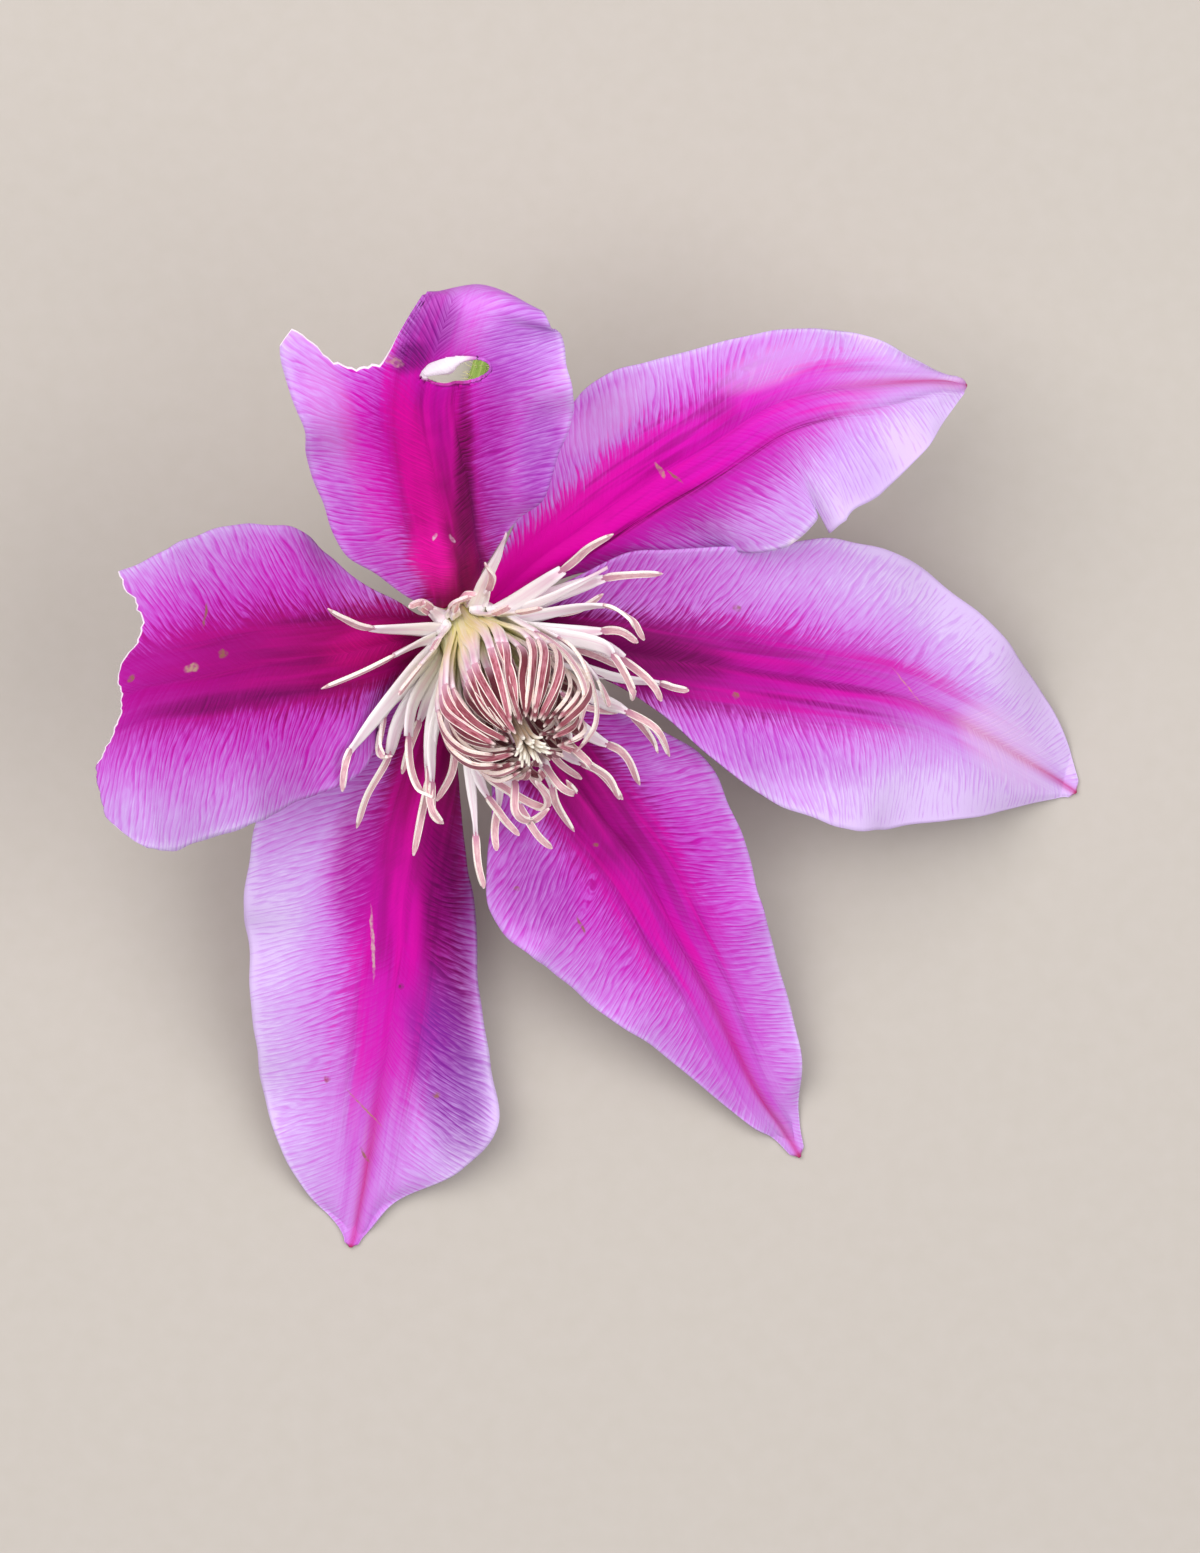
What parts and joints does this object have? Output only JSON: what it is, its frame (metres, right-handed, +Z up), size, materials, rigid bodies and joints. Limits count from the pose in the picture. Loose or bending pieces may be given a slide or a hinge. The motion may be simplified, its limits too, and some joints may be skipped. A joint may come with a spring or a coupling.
{
  "type": "clematis flower",
  "caption": "Large open clematis flower with pointed magenta and lilac sepals round a tuft of pale stamens, on a short bent stem, lying on a surface.",
  "frame": {"origin": "on the surface that the flower lies on, below the middle of its outline seen from above", "axes": "+Z up from the surface, +Y towards the raised top sepal, +X towards the longest sepal, which points right"},
  "size_m": [0.117, 0.1152, 0.0668],
  "materials": {
    "sepal": "satin petal, magenta bar and lilac margins",
    "filament": "matte, cream white",
    "anther": "matte, dusty rose and cream",
    "style": "matte, pale greenish cream",
    "stem": "matte green"
  },
  "bodies": {
    "root": {"sepal_top": "sepal", "sepal_upper_right": "sepal", "sepal_right": "sepal", "sepal_lower_right": "sepal", "sepal_bottom": "sepal", "sepal_left": "sepal", "stalk": "stem", "outer_stamens": "filament", "inner_stamens": "anther", "styles": "style"}
  },
  "joints": []
}
